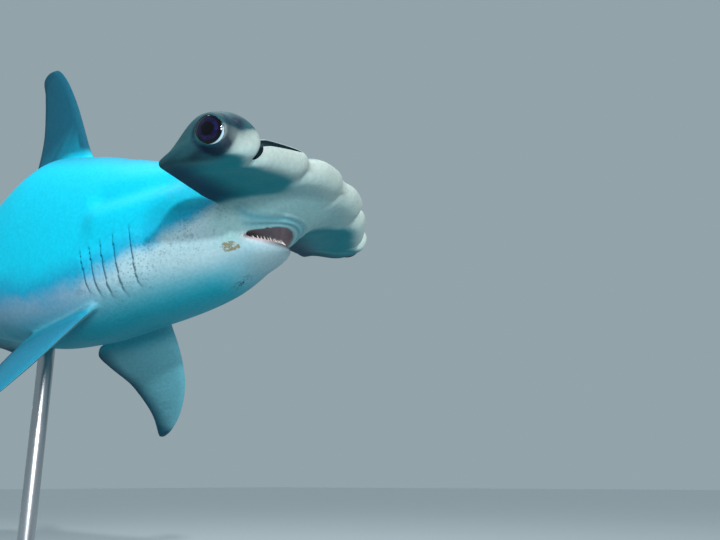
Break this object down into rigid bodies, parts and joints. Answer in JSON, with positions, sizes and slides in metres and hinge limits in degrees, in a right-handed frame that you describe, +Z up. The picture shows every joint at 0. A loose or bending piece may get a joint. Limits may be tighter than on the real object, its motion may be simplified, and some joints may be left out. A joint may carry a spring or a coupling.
{
  "type": "hammerhead shark",
  "caption": "Life-size still model of a scalloped hammerhead shark, swimming with its head turned and mouth part open, held over a flat base by two rods.",
  "frame": {"origin": "centre of the underside of the stand's base, level with the floor", "axes": "+X forward along the trunk, +Y to the animal's left, +Z up"},
  "size_m": [2.5019, 0.8386, 1.3373],
  "materials": {
    "body_skin": "smooth wet skin, blue-grey above and pale below",
    "head_skin": "smooth wet skin, dark grey above and grey-white below",
    "jaw_skin": "smooth pale skin with small dark specks",
    "fin_skin": "smooth skin, grey-blue with dusky margins",
    "eye": "wet, glossy, near black with a pale blue rim",
    "stand_base_paint": "matt black powder coat",
    "stand_rod_steel": "satin"
  },
  "bodies": {
    "root": {"head": "head_skin", "lower_jaw": "jaw_skin", "neck": "body_skin", "torso_front": "body_skin", "torso_rear": "body_skin", "tail": "body_skin", "dorsal_first": "fin_skin", "dorsal_second": "fin_skin", "anal_fin": "fin_skin", "pectoral_left": "fin_skin", "pectoral_right": "fin_skin", "pelvic_left": "fin_skin", "pelvic_right": "fin_skin", "caudal_upper": "fin_skin", "caudal_lower": "fin_skin", "eye_left": "eye", "eye_right": "eye", "stand_base": "stand_base_paint", "stand_flange_front": "stand_rod_steel", "stand_flange_rear": "stand_rod_steel", "stand_rod_front": "stand_rod_steel", "stand_rod_rear": "stand_rod_steel"}
  },
  "joints": []
}
